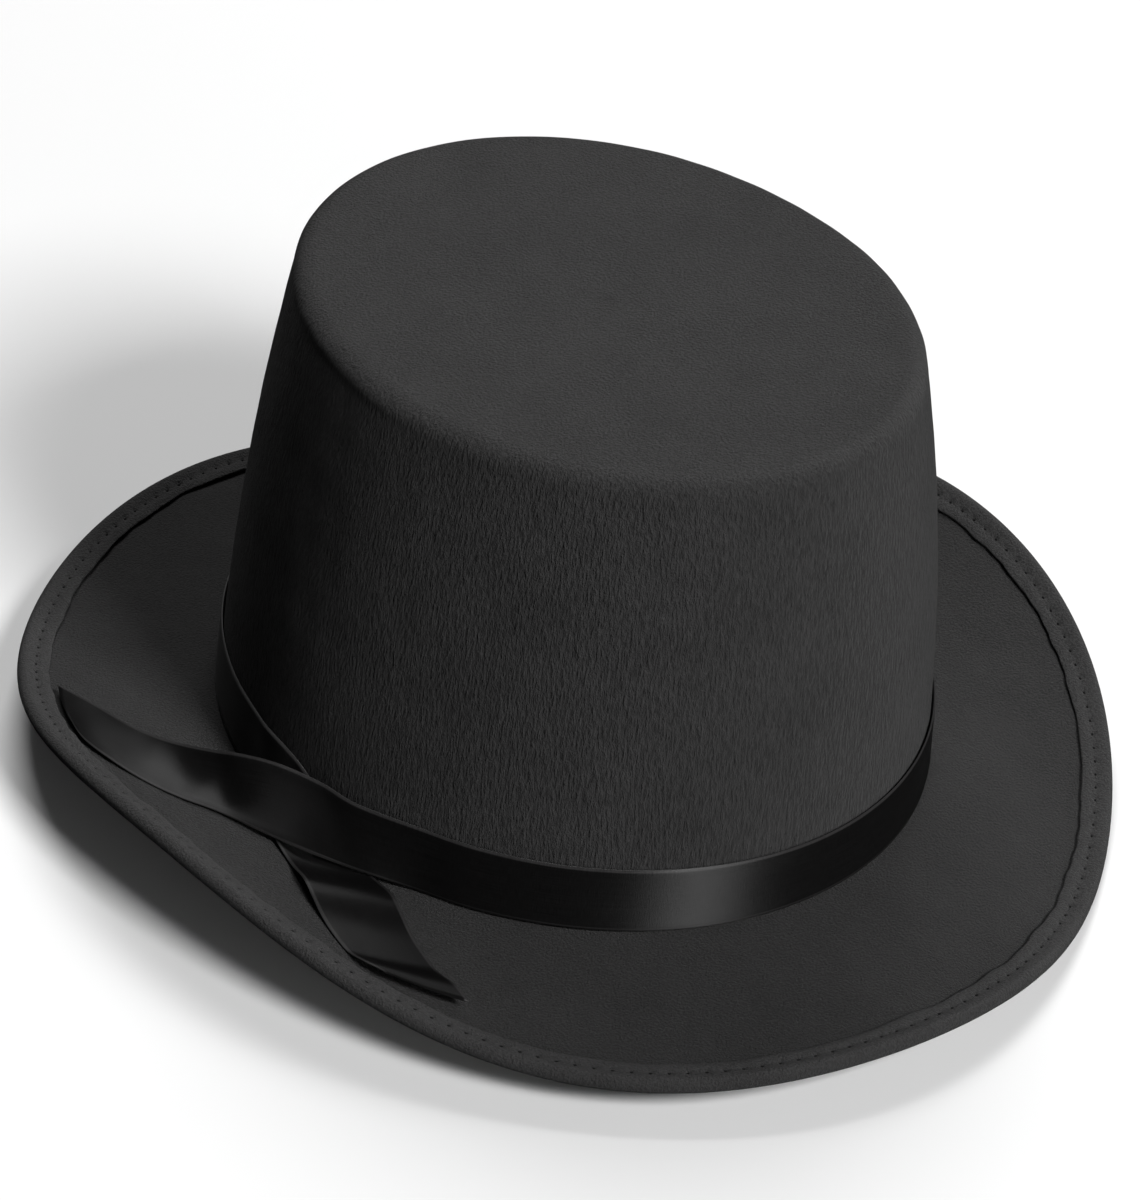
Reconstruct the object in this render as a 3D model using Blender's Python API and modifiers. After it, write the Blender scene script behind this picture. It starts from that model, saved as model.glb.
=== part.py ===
"""Top hat in stiffened felt, built as the real hat is: crown, brim, hem, ribbon and sweatband.

Metres, +Z up. The origin is the centre of the head opening, where the crown meets the brim.
Y is the hat's long axis. The ribbon's two ends cross on the -X side, the wearer's left.
Every outline is an ellipse or a sum of a few cosines of the angle round the hat.
"""

import math

import bmesh
import bpy

# ---- driving dimensions ----
SEGMENTS = 48
GAP = 0.0003

BASE_X, BASE_Y = 0.0943, 0.1010
TOP_X, TOP_Y = 0.0768, 0.0902
HEIGHT = 0.1318
WALL_BULGE = 0.0026
TOP_EDGE_RADIUS = 0.0050

CROWN_FELT = 0.0020
LINING = 0.0005
BRIM_FELT = 0.0015
FOOT_HEIGHT = 0.0015
COLLAR_HEIGHT = 0.0085
FILLET = 0.0006

# Brim width, mean slope and extra turn-up at the rim: constant, then (cosine, sine) of 1, 2, 3, 4 times
BRIM_WIDTH = (0.0536, (0.0004, 0.0001), (-0.0035, -0.0015), (0.0015, -0.0004), (0.0, -0.0010))
BRIM_SLOPE = (-2.5, (-2.3, 0.5), (12.2, 0.5), (3.5, 1.4), (7.3, -0.3))
BRIM_TURN = (7.8, (2.0, 4.2), (0.0, 5.9))
SLOPE_STEPS = 24

HEM_WIDTH = 0.0090
HEM_SWELL = 0.0003
HEM_SWELL_INSET = 0.0050
WIRE_RADIUS = 0.00045
WIRE_CHANNEL = 0.0008
THREAD_RADIUS = 0.0003
HEM_SEAM_INSET = 0.0052

RIBBON_THICKNESS = 0.0005
RIBBON_WIDTH = 0.0195
BAND_FOOT = 0.0016
BAND_START, BAND_END = 27, 70  # in segments round the hat

# The ribbon's ends: outer edge, middle and inner edge as (x, y, height over the brim) in millimetres
FRONT_END = (
    ((-120.6, 68.0, 0.7), (-116.6, 76.8, 0.7), (-111.6, 85.2, 0.7)),
    ((-124.3, 57.0, 0.6), (-117.8, 63.5, 0.6), (-109.7, 69.5, 0.6)),
    ((-124.8, 45.0, 0.6), (-117.0, 51.0, 0.6), (-109.0, 57.0, 1.2)),
    ((-123.2, 32.0, 0.6), (-115.6, 40.3, 0.9), (-107.3, 48.0, 2.2)),
    ((-119.0, 20.5, 0.8), (-112.0, 29.5, 1.8), (-104.9, 38.6, 4.6)),
    ((-113.7, 11.0, 1.2), (-108.6, 19.0, 4.8), (-103.2, 28.2, 9.0)),
    ((-109.2, -2.4, 2.0), (-106.3, 8.0, 8.2), (-102.5, 18.5, 14.0)),
    ((-105.3, -12.5, 2.6), (-102.4, -3.0, 10.6), (-99.2, 6.0, 18.0)),
    ((-99.8, -22.4, 2.6), (-98.3, -15.0, 11.2), (-96.0, -8.0, 20.0)),
    ((-95.5, -29.5, 2.6), (-95.2, -25.0, 11.2), (-94.3, -21.0, 20.4)),
)
REAR_END = (
    ((-94.2, 20.0, 0.9), (-93.5, 19.5, 10.5), (-92.4, 19.0, 20.3)),
    ((-97.6, 12.0, 0.9), (-95.4, 11.0, 10.0), (-93.3, 10.0, 19.6)),
    ((-102.0, 4.5, 0.9), (-97.2, 3.0, 9.0), (-93.6, 1.5, 17.4)),
    ((-107.2, -4.0, 0.7), (-100.5, -6.5, 1.8), (-93.9, -9.0, 12.0)),
    ((-110.7, -15.0, 0.6), (-102.0, -18.5, 0.8), (-94.0, -20.5, 3.0)),
    ((-115.6, -29.0, 0.6), (-105.8, -32.0, 0.6), (-95.0, -34.5, 0.8)),
    ((-118.9, -41.8, 0.6), (-108.9, -44.6, 0.6), (-98.7, -46.8, 0.6)),
    ((-120.3, -52.0, 0.6), (-110.9, -54.2, 0.6), (-101.3, -56.0, 0.6)),
    ((-120.2, -58.0, 0.6), (-112.2, -63.8, 0.6), (-103.6, -69.0, 0.6)),
    ((-118.8, -63.2, 0.7), (-112.4, -73.0, 0.7), (-105.6, -82.0, 0.7)),
)

SWEATBAND_HEIGHT = 0.0300
SWEATBAND_THICKNESS = 0.0008
SWEATBAND_SEAM_HEIGHT = 0.0030
LABEL_THICKNESS = 0.0003
LABEL_BOTTOM, LABEL_TOP = 0.0090, 0.0230
LABEL_SEGMENTS = (35, 36, 37)

FELT_BLACK = (0.018, 0.017, 0.018, 1.0)
SATIN_BLACK = (0.012, 0.012, 0.013, 1.0)
THREAD_BLACK = (0.02, 0.02, 0.02, 1.0)
WIRE_GREY = (0.35, 0.35, 0.36, 1.0)
LINING_GREY = (0.06, 0.06, 0.065, 1.0)
SWEATBAND_BLACK = (0.03, 0.03, 0.03, 1.0)
LABEL_GREY = (0.55, 0.55, 0.53, 1.0)


# ---- the hat's shape as functions ----
def harmonics(terms, angle):
    """The constant plus each pair's cosine and sine of 1, 2, 3 ... times the angle."""
    total = terms[0]
    for order, (cosine, sine) in enumerate(terms[1:], start=1):
        total += cosine * math.cos(order * angle) + sine * math.sin(order * angle)
    return total


def wall_axes(z):
    """Half the crown's width in X and in Y at a height, before the top edge is rounded."""
    share = z / (HEIGHT - TOP_EDGE_RADIUS)
    bulge = 4 * WALL_BULGE * share * (1 - share)
    return (
        BASE_X + (TOP_X - BASE_X) * share + bulge,
        BASE_Y + (TOP_Y - BASE_Y) * share + bulge,
    )


def wall_point(angle, z, inset):
    """A point that lies inset inside the crown's outer wall."""
    x_axis, y_axis = wall_axes(z)
    return ((x_axis - inset) * math.cos(angle), (y_axis - inset) * math.sin(angle), z)


def crown_outside(inset, bottom, wall_rings, edge_rings):
    """Rings of (x axis, y axis, z) up the wall, over the rounded edge and onto the flat top."""
    rings = []
    shoulder = HEIGHT - TOP_EDGE_RADIUS
    for i in range(wall_rings + 1):
        z = bottom + (shoulder - bottom) * i / wall_rings
        x_axis, y_axis = wall_axes(z)
        rings.append((x_axis - inset, y_axis - inset, z))
    for i in range(1, edge_rings + 1):
        turn = math.pi / 2 * i / edge_rings
        pull = TOP_EDGE_RADIUS - (TOP_EDGE_RADIUS - inset) * math.cos(turn)
        z = shoulder + (TOP_EDGE_RADIUS - inset) * math.sin(turn)
        rings.append((TOP_X - pull, TOP_Y - pull, z))
    return rings


def brim_frame(angle, along):
    """The brim's middle surface: point, outward tangent and upward normal at a length from the crown."""
    width = harmonics(BRIM_WIDTH, angle)
    turn = math.radians(harmonics(BRIM_TURN, angle))
    start = math.radians(harmonics(BRIM_SLOPE, angle)) - turn / 3
    out = rise = 0.0
    for i in range(SLOPE_STEPS):
        share = (i + 0.5) / SLOPE_STEPS * along / width
        slope = start + turn * share**2
        out += math.cos(slope) * along / SLOPE_STEPS
        rise += math.sin(slope) * along / SLOPE_STEPS
    slope = start + turn * (along / width) ** 2
    nx, ny = math.cos(angle) / BASE_X, math.sin(angle) / BASE_Y
    length = math.hypot(nx, ny)
    nx, ny = nx / length, ny / length
    point = (BASE_X * math.cos(angle) + nx * out, BASE_Y * math.sin(angle) + ny * out, rise)
    tangent = (nx * math.cos(slope), ny * math.cos(slope), math.sin(slope))
    normal = (-nx * math.sin(slope), -ny * math.sin(slope), math.cos(slope))
    return point, tangent, normal


def brim_point(angle, along, above):
    point, _, normal = brim_frame(angle, along)
    return tuple(p + n * above for p, n in zip(point, normal))


def rim_point(angle, inward, above):
    """A point measured inwards from the brim's outer edge and above its middle surface."""
    return brim_point(angle, harmonics(BRIM_WIDTH, angle) - inward, above)


def over_brim(x, y, above):
    """The point at a plan position and a height above the brim's upper face."""
    angle = math.atan2(y / BASE_Y, x / BASE_X)
    for _ in range(12):
        nx, ny = math.cos(angle) / BASE_X, math.sin(angle) / BASE_Y
        length = math.hypot(nx, ny)
        reach = math.hypot(x - BASE_X * math.cos(angle), y - BASE_Y * math.sin(angle))
        angle = math.atan2((y - ny / length * reach) / BASE_Y, (x - nx / length * reach) / BASE_X)
    along = reach
    for _ in range(6):
        point = brim_frame(angle, along)[0]
        along += reach - math.hypot(point[0] - BASE_X * math.cos(angle), point[1] - BASE_Y * math.sin(angle))
    return (x, y, point[2] + BRIM_FELT / 2 + above)


def angles():
    return [2 * math.pi * i / SEGMENTS for i in range(SEGMENTS)]


# ---- making objects ----
def material(name, colour, roughness, metallic=0.0):
    made = bpy.data.materials.new(name)
    made.use_nodes = True
    shader = made.node_tree.nodes["Principled BSDF"]
    shader.inputs["Base Color"].default_value = colour
    shader.inputs["Roughness"].default_value = roughness
    shader.inputs["Metallic"].default_value = metallic
    return made


def node(name, mesh_data, finish, collection):
    mesh = bpy.data.meshes.new(name)
    mesh_data.to_mesh(mesh)
    mesh_data.free()
    mesh.materials.append(finish)
    mesh.shade_smooth()
    mesh.set_sharp_from_angle(angle=math.radians(40))
    made = bpy.data.objects.new(name, mesh)
    collection.objects.link(made)
    return made


def ring_surface(rings, closed_section=False, cap_last=False):
    """A surface through rings of points that all go the same way round the hat."""
    mesh = bmesh.new()
    rows = [[mesh.verts.new(p) for p in ring] for ring in rings]
    pairs = list(zip(rows, rows[1:]))
    if closed_section:
        pairs.append((rows[-1], rows[0]))
    for low, high in pairs:
        count = len(low)
        for i in range(count):
            j = (i + 1) % count
            mesh.faces.new((low[i], low[j], high[j], high[i]))
    if cap_last:
        mesh.faces.new(rows[-1])
    return mesh


def strip_surface(rows):
    """An open surface through rows of points, for a length of ribbon."""
    mesh = bmesh.new()
    grid = [[mesh.verts.new(p) for p in row] for row in rows]
    for row, following in zip(grid, grid[1:]):
        for i in range(len(row) - 1):
            mesh.faces.new((row[i], row[i + 1], following[i + 1], following[i]))
    return mesh


def thicken(piece, thickness, offset):
    shell = piece.modifiers.new("Thickness", "SOLIDIFY")
    shell.thickness = thickness
    shell.offset = offset
    shell.use_even_offset = True
    shell.use_quality_normals = True


def ellipse_ring(x_axis, y_axis, z):
    return [(x_axis * math.cos(a), y_axis * math.sin(a), z) for a in angles()]


def thread_ring(name, centre, finish, collection, radius=THREAD_RADIUS, sides=5):
    """A closed thread or wire that follows centre(angle, inward, above) round the hat."""
    rings = []
    for side in range(sides):
        turn = 2 * math.pi * side / sides
        rings.append([centre(a, radius * math.cos(turn), radius * math.sin(turn)) for a in angles()])
    return node(name, ring_surface(rings, closed_section=True), finish, collection)


# ---- the crown ----
def make_crown(felt, collection):
    rings = [ellipse_ring(*r) for r in crown_outside(0.0, FOOT_HEIGHT, 6, 4)]
    crown = node("crown_felt", ring_surface(rings, cap_last=True), felt, collection)
    thicken(crown, CROWN_FELT, -1)
    return crown


def make_lining(satin, collection):
    inset = CROWN_FELT + GAP
    rings = [ellipse_ring(*r) for r in crown_outside(inset, COLLAR_HEIGHT + 0.0015, 5, 3)]
    lining = node("crown_lining", ring_surface(rings, cap_last=True), satin, collection)
    thicken(lining, LINING, -1)
    return lining


# ---- the brim ----
def fillet(angle, radius, turns):
    """An arc from the collar's face down to the brim's face, round a centre inside the crown's foot."""
    centre = CROWN_FELT + GAP - FILLET
    lift = BRIM_FELT / 2 + FILLET
    points = []
    for turn in turns:
        point = wall_point(angle, lift - radius * math.sin(turn), centre + radius * math.cos(turn))
        points.append(point)
    return points


def hem_outline():
    """The turned-over edge as (inward from the rim, above the middle surface), underside first."""
    half = BRIM_FELT / 2
    outer = BRIM_FELT + WIRE_CHANNEL
    centre = half + WIRE_CHANNEL
    laid = half + GAP
    outline = []
    for i in range(7):
        turn = math.pi * i / 6 - math.pi / 2
        outline.append((outer - outer * math.cos(turn), centre + outer * math.sin(turn)))
    outline.append((HEM_SWELL_INSET - 0.0002, laid + BRIM_FELT + HEM_SWELL))
    outline.append((HEM_WIDTH, laid + BRIM_FELT))
    outline.append((HEM_WIDTH, laid))
    outline.append((HEM_SWELL_INSET, laid + HEM_SWELL))
    for i in range(5):
        turn = math.pi / 2 - math.pi * i / 4
        outline.append((outer - WIRE_CHANNEL * math.cos(turn), centre + WIRE_CHANNEL * math.sin(turn)))
    return outline


def brim_outline(angle):
    """The whole brim cut at one angle: up the collar, out along the underside, back over the top."""
    half = BRIM_FELT / 2
    outer_face = CROWN_FELT + GAP
    inner_face = outer_face + BRIM_FELT
    width = harmonics(BRIM_WIDTH, angle)
    hem = hem_outline()
    reach = width - BRIM_FELT - WIRE_CHANNEL
    turns = (0.0, math.pi / 4, math.pi / 2)
    points = [wall_point(angle, COLLAR_HEIGHT, outer_face), wall_point(angle, COLLAR_HEIGHT, inner_face)]
    points += fillet(angle, FILLET + BRIM_FELT, turns)
    for i in range(7):
        points.append(brim_point(angle, reach * i / 7, -half))
    points += [brim_point(angle, width - inward, above) for inward, above in hem]
    for i in range(6, -1, -1):
        points.append(brim_point(angle, reach * i / 7, half))
    points += fillet(angle, FILLET, turns[::-1])
    return points


def make_brim(felt, collection):
    outlines = [brim_outline(a) for a in angles()]
    rings = list(zip(*outlines))
    return node("brim_felt", ring_surface(rings, closed_section=True), felt, collection)


def make_wire(metal, collection):
    inward = BRIM_FELT + WIRE_CHANNEL
    above = BRIM_FELT / 2 + WIRE_CHANNEL

    def centre(angle, across, up):
        return rim_point(angle, inward - across, above + up)

    return thread_ring("brim_wire", centre, metal, collection, WIRE_RADIUS, sides=6)


def make_hem_thread(thread, collection):
    above = BRIM_FELT * 1.5 + 3 * GAP + THREAD_RADIUS

    def centre(angle, across, up):
        return rim_point(angle, HEM_SEAM_INSET - across, above + up)

    return thread_ring("hem_thread", centre, thread, collection)


# ---- the ribbon ----
def make_band(satin, collection):
    """One length of ribbon: the front end, once round the crown, then the rear end under the front one."""
    off = -GAP - RIBBON_THICKNESS / 2
    rows = [[over_brim(x / 1000, y / 1000, h / 1000) for x, y, h in row] for row in FRONT_END]
    for i in range(BAND_START, BAND_END + 1):
        a = 2 * math.pi * i / SEGMENTS
        rows.append([wall_point(a, BAND_FOOT + RIBBON_WIDTH * share, off) for share in (0, 0.5, 1)])
    rows += [[over_brim(x / 1000, y / 1000, h / 1000) for x, y, h in row] for row in REAR_END]
    band = node("hat_band", strip_surface(rows), satin, collection)
    thicken(band, RIBBON_THICKNESS, 0)
    return band


# ---- inside the head opening ----
def make_sweatband(tape, collection):
    inset = CROWN_FELT + BRIM_FELT + 2 * GAP
    rings = []
    for i in range(4):
        z = -BRIM_FELT / 2 + SWEATBAND_HEIGHT * i / 3
        rings.append([wall_point(a, z, inset) for a in angles()])
    band = node("sweatband", ring_surface(rings), tape, collection)
    thicken(band, SWEATBAND_THICKNESS, -1)
    return band


def make_sweatband_thread(thread, collection):
    inset = CROWN_FELT + BRIM_FELT + SWEATBAND_THICKNESS + 3 * GAP + THREAD_RADIUS

    def centre(angle, across, up):
        return wall_point(angle, SWEATBAND_SEAM_HEIGHT + up, inset - across)

    return thread_ring("sweatband_thread", centre, thread, collection)


def make_label(cloth, collection):
    """A blank label on the sweatband at the back of the head."""
    inset = CROWN_FELT + BRIM_FELT + SWEATBAND_THICKNESS + 3 * GAP
    rows = []
    for i in LABEL_SEGMENTS:
        a = 2 * math.pi * i / SEGMENTS
        rows.append([wall_point(a, z, inset) for z in (LABEL_BOTTOM, LABEL_TOP)])
    label = node("size_label", strip_surface(rows), cloth, collection)
    thicken(label, LABEL_THICKNESS, 1)
    return label


def main():
    for old in list(bpy.data.objects):
        bpy.data.objects.remove(old)
    collection = bpy.data.collections.new("top_hat")
    bpy.context.scene.collection.children.link(collection)

    felt = material("felt", FELT_BLACK, 0.95)
    satin = material("satin", SATIN_BLACK, 0.30)
    thread = material("thread", THREAD_BLACK, 0.70)
    wire = material("wire", WIRE_GREY, 0.40, 1.0)
    lining = material("lining", LINING_GREY, 0.45)
    tape = material("sweatband", SWEATBAND_BLACK, 0.60)
    label = material("label", LABEL_GREY, 0.80)

    make_crown(felt, collection)
    make_lining(lining, collection)
    make_brim(felt, collection)
    make_wire(wire, collection)
    make_hem_thread(thread, collection)
    make_band(satin, collection)
    make_sweatband(tape, collection)
    make_sweatband_thread(thread, collection)
    make_label(label, collection)


main()
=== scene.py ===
"""Looks for the felt top hat: napped felt, a puckered hem with real stitches, a satin ribbon
whose ends cross on one side, and the lining and sweatband inside.

The shape functions are the part's own, worked here on numpy arrays for a finer mesh.
"""

import math

import bmesh
import bpy
import numpy as np
from mathutils import Matrix, Vector


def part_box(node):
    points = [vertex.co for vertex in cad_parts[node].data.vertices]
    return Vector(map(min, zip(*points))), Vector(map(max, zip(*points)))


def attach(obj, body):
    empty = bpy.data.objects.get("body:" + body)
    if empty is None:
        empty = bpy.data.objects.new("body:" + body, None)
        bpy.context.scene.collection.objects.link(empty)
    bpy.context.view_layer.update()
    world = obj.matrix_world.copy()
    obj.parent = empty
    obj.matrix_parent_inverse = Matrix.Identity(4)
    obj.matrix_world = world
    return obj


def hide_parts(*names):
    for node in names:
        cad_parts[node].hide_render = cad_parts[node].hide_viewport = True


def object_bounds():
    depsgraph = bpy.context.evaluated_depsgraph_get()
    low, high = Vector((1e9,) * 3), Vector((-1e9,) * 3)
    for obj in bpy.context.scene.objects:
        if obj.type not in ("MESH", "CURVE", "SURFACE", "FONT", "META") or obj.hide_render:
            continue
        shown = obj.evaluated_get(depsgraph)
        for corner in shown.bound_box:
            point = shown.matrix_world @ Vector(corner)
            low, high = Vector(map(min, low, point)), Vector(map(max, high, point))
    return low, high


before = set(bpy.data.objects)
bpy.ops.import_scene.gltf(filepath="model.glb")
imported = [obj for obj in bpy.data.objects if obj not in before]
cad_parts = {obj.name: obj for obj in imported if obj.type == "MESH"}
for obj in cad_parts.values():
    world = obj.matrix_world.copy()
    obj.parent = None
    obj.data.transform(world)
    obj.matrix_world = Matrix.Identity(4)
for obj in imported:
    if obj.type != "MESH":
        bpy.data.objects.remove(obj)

cad_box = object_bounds()

# ---- the hat's driving dimensions, as in the part: metres, and degrees for angles ----
GAP = 0.0003
BASE_X, BASE_Y = 0.0943, 0.1010
TOP_X, TOP_Y = 0.0768, 0.0902
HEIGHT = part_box("crown_felt")[1][2]
WALL_BULGE = 0.0026
TOP_EDGE_RADIUS = 0.0050
CROWN_FELT = 0.0020
FOOT_HEIGHT = 0.0015
BRIM_FELT = 0.0015
COLLAR_HEIGHT = 0.0085
FILLET = 0.0006
# A constant and then (cosine, sine) pairs for harmonics(): the width in metres, the rest in degrees
BRIM_WIDTH = (0.0536, (0.0004, 0.0001), (-0.0035, -0.0015), (0.0015, -0.0004), (0.0, -0.0010))
BRIM_SLOPE = (-2.5, (-2.3, 0.5), (12.2, 0.5), (3.5, 1.4), (7.3, -0.3))
BRIM_TURN = (7.8, (2.0, 4.2), (0.0, 5.9))
SLOPE_STEPS = 24
HEM_WIDTH = 0.0090
WIRE_CHANNEL = 0.0008
HEM_SEAM_INSET = 0.0052
RIBBON_THICKNESS = 0.0005
RIBBON_WIDTH = 0.0195
BAND_FOOT = 0.0016
BAND_START, BAND_END, BAND_STEP = 202.5, 525.0, 7.5
SWEATBAND_HEIGHT = 0.0300
SWEATBAND_THICKNESS = 0.0008
LINING = 0.0005
LABEL_BOTTOM, LABEL_TOP = 0.0090, 0.0230

# The ribbon's ends: outer edge, middle and inner edge, as (x, y, height over the brim) in mm
FRONT_END = (
    ((-120.6, 68.0, 0.7), (-116.6, 76.8, 0.7), (-111.6, 85.2, 0.7)),
    ((-124.3, 57.0, 0.6), (-117.8, 63.5, 0.6), (-109.7, 69.5, 0.6)),
    ((-124.8, 45.0, 0.6), (-117.0, 51.0, 0.6), (-109.0, 57.0, 1.2)),
    ((-123.2, 32.0, 0.6), (-115.6, 40.3, 0.9), (-107.3, 48.0, 2.2)),
    ((-119.0, 20.5, 0.8), (-112.0, 29.5, 1.8), (-104.9, 38.6, 4.6)),
    ((-113.7, 11.0, 1.2), (-108.6, 19.0, 4.8), (-103.2, 28.2, 9.0)),
    ((-109.2, -2.4, 2.0), (-106.3, 8.0, 8.2), (-102.5, 18.5, 14.0)),
    ((-105.3, -12.5, 2.6), (-102.4, -3.0, 10.6), (-99.2, 6.0, 18.0)),
    ((-99.8, -22.4, 2.6), (-98.3, -15.0, 11.2), (-96.0, -8.0, 20.0)),
    ((-95.5, -29.5, 2.6), (-95.2, -25.0, 11.2), (-94.3, -21.0, 20.4)),
)
REAR_END = (
    ((-94.2, 20.0, 0.9), (-93.5, 19.5, 10.5), (-92.4, 19.0, 20.3)),
    ((-97.6, 12.0, 0.9), (-95.4, 11.0, 10.0), (-93.3, 10.0, 19.6)),
    ((-102.0, 4.5, 0.9), (-97.2, 3.0, 9.0), (-93.6, 1.5, 17.4)),
    ((-107.2, -4.0, 0.7), (-100.5, -6.5, 1.8), (-93.9, -9.0, 12.0)),
    ((-110.7, -15.0, 0.6), (-102.0, -18.5, 0.8), (-94.0, -20.5, 3.0)),
    ((-115.6, -29.0, 0.6), (-105.8, -32.0, 0.6), (-95.0, -34.5, 0.8)),
    ((-118.9, -41.8, 0.6), (-108.9, -44.6, 0.6), (-98.7, -46.8, 0.6)),
    ((-120.3, -52.0, 0.6), (-110.9, -54.2, 0.6), (-101.3, -56.0, 0.6)),
    ((-120.2, -58.0, 0.6), (-112.2, -63.8, 0.6), (-103.6, -69.0, 0.6)),
    ((-118.8, -63.2, 0.7), (-112.4, -73.0, 0.7), (-105.6, -82.0, 0.7)),
)

# ---- detail that only the looks need ----
# Rows of points up a wall, over its edge and across its top
OUTSIDE_RINGS, INSIDE_RINGS, LINING_RINGS = (70, 14, 26), (40, 8, 16), (50, 8, 14)
CROWN_COLUMNS = 360
INNER_COLUMNS = 288
FLAT_ROWS = 34
# Rounds of closing in on a place on the brim, and waves summed in a ripple
ANGLE_ROUNDS, LENGTH_ROUNDS = 12, 6
RIPPLE_WAVES = 7

VISUAL_EDGE_RADIUS = 0.0060
WALL_EVEN_TO, WALL_FADE = 0.024, 0.03  # under the ribbon the wall is even
WALL_WAVE, WALL_PUCKER = 0.00035, 0.00012
TOP_SAG = 0.0002
# How far the crown's felt is painted lighter: painted light that sets its tone against the brim's
# upper face, which is painted darker as shade
CROWN_PAINTED_LIGHT = 0.85

STITCH_PITCH = 0.0048
STITCH_LENGTH = 0.0017
STITCH_RADIUS = 0.00032
STITCH_LEVEL = 0.0001  # how far the stitches stand above the bottom of their groove
COLUMNS_PER_STITCH = 8
SEAM_SAMPLES = 4001
GROOVE_WIDTH, GROOVE_DEPTH, NEEDLE_DEPTH = 0.0008, 0.00015, 0.0006

HEM_EDGE = 0.0009
HEM_EDGE_ROUND = 0.0004
EDGE_PUCKER, EDGE_WANDER = 0.00035, 0.0003
HEM_REST = 0.0003  # how far the free edge stands off the brim on average
LIFT_WANDER, LIFT_PUCKER = 0.00012, 0.00018
HEM_SETTLE = 1.6  # how fast the hem comes down from the wire to the brim
PRESSED_FROM = 0.6  # the share of its width from which it thins towards its free edge
HEM_SEAM_SHARE = 0.46  # the part of the free edge's lift that is left at the seam
CHANNEL_MOUTH = 0.0050
WIRE_RADIUS = 0.00045
FELT_SOFTNESS = 0.00018
SOFTNESS_FADE = 0.012

# Thickness of the ribbon's face, corded selvedge and outermost edge, over its nominal thickness
FACE_SHARE, CORD_SHARE, EDGE_SHARE = 0.8, 1.15, 0.45
RIBBON_STEPS, RIBBON_COLUMNS = 8, 17
# Slack in the ribbon's ends. The slant falls along the rear end towards its cut.
ON_BRIM_X, ON_BRIM_Z = -0.094, 0.020
SLANT_SLOPE, SLANT_X = 0.95, -0.106
CLEAR_HEIGHT, CLEAR_AT, CLEAR_SPREAD = 0.0007, -0.0075, 0.0060
RIDGE_HEIGHT, RIDGE_AT, RIDGE_NEAR, RIDGE_FAR = 0.0030, -0.0335, 0.0095, 0.0115
REAR_LIFT, REAR_LIFT_AT, REAR_LIFT_REACH = 0.0034, -0.062, 0.014
FRONT_LIFT, FRONT_LIFT_AT, FRONT_LIFT_REACH = 0.0016, 0.025, 0.050
DIMPLE_DEPTH, DIMPLE_X, DIMPLE_Y = 0.0008, -0.1085, 0.0150
DIMPLE_SPREAD_X, DIMPLE_SPREAD_Y = 0.0040, 0.0060

SWEATBAND_WAVE = 0.0005
SWEATBAND_SEAM = 0.003
SEWN_TO, SEWN_FADE = 0.006, 0.02  # the sweatband lies flat to just above its seam
LINING_SLACK = 0.0011
LINING_FOLD = 0.0014
FOLD_BOTTOM, FOLD_FADE = 0.03, 0.03
LINING_TOP_DROP = 0.0012
LINING_CLOTH_RADIUS = 0.09
LABEL_FROM, LABEL_TO, LABEL_LENGTH = 262.5, 277.5, 0.026
LABEL_STANDOFF = 0.0012


# ---- shape functions on arrays ----
def harmonics(terms, angle):
    """The constant plus each pair's cosine and sine of 1, 2, 3 ... times the angle."""
    total = np.full_like(angle, terms[0])
    for order, (cosine, sine) in enumerate(terms[1:], start=1):
        total = total + cosine * np.cos(order * angle) + sine * np.sin(order * angle)
    return total


def wall_axes(z):
    """Half the crown's width in X and in Y at a height, before the top edge is rounded."""
    share = z / (HEIGHT - TOP_EDGE_RADIUS)
    bulge = 4 * WALL_BULGE * share * (1 - share)
    return BASE_X + (TOP_X - BASE_X) * share + bulge, BASE_Y + (TOP_Y - BASE_Y) * share + bulge


def wall_point(angle, z, inset):
    """A point at an angle and a height, at a depth inside the crown's wall."""
    angle, z, inset = np.broadcast_arrays(angle, np.asarray(z, float), np.asarray(inset, float))
    x_axis, y_axis = wall_axes(z)
    x, y = (x_axis - inset) * np.cos(angle), (y_axis - inset) * np.sin(angle)
    return np.stack([x, y, z], axis=-1)


def outward(angle):
    """The plan direction that points straight out of the crown's foot."""
    nx, ny = np.cos(angle) / BASE_X, np.sin(angle) / BASE_Y
    length = np.hypot(nx, ny)
    return nx / length, ny / length


def brim_frame(angle, along):
    """The brim's middle surface: its point, outward tangent and upward normal, some way out."""
    angle, along = np.broadcast_arrays(np.asarray(angle, float), np.asarray(along, float))
    width = harmonics(BRIM_WIDTH, angle)
    turn = np.radians(harmonics(BRIM_TURN, angle))
    start = np.radians(harmonics(BRIM_SLOPE, angle)) - turn / 3
    out = np.zeros_like(along)
    rise = np.zeros_like(along)
    for i in range(SLOPE_STEPS):
        slope = start + turn * ((i + 0.5) / SLOPE_STEPS * along / width) ** 2
        out += np.cos(slope) * along / SLOPE_STEPS
        rise += np.sin(slope) * along / SLOPE_STEPS
    slope = start + turn * (along / width) ** 2
    nx, ny = outward(angle)
    x, y = BASE_X * np.cos(angle) + nx * out, BASE_Y * np.sin(angle) + ny * out
    point = np.stack([x, y, rise], axis=-1)
    tangent = np.stack([nx * np.cos(slope), ny * np.cos(slope), np.sin(slope)], axis=-1)
    normal = np.stack([-nx * np.sin(slope), -ny * np.sin(slope), np.cos(slope)], axis=-1)
    return point, tangent, normal


def brim_point(angle, along, above):
    """A point at a height over the brim's middle surface, square to it."""
    point, _, normal = brim_frame(angle, along)
    return point + normal * np.asarray(above, float)[..., None]


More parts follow.
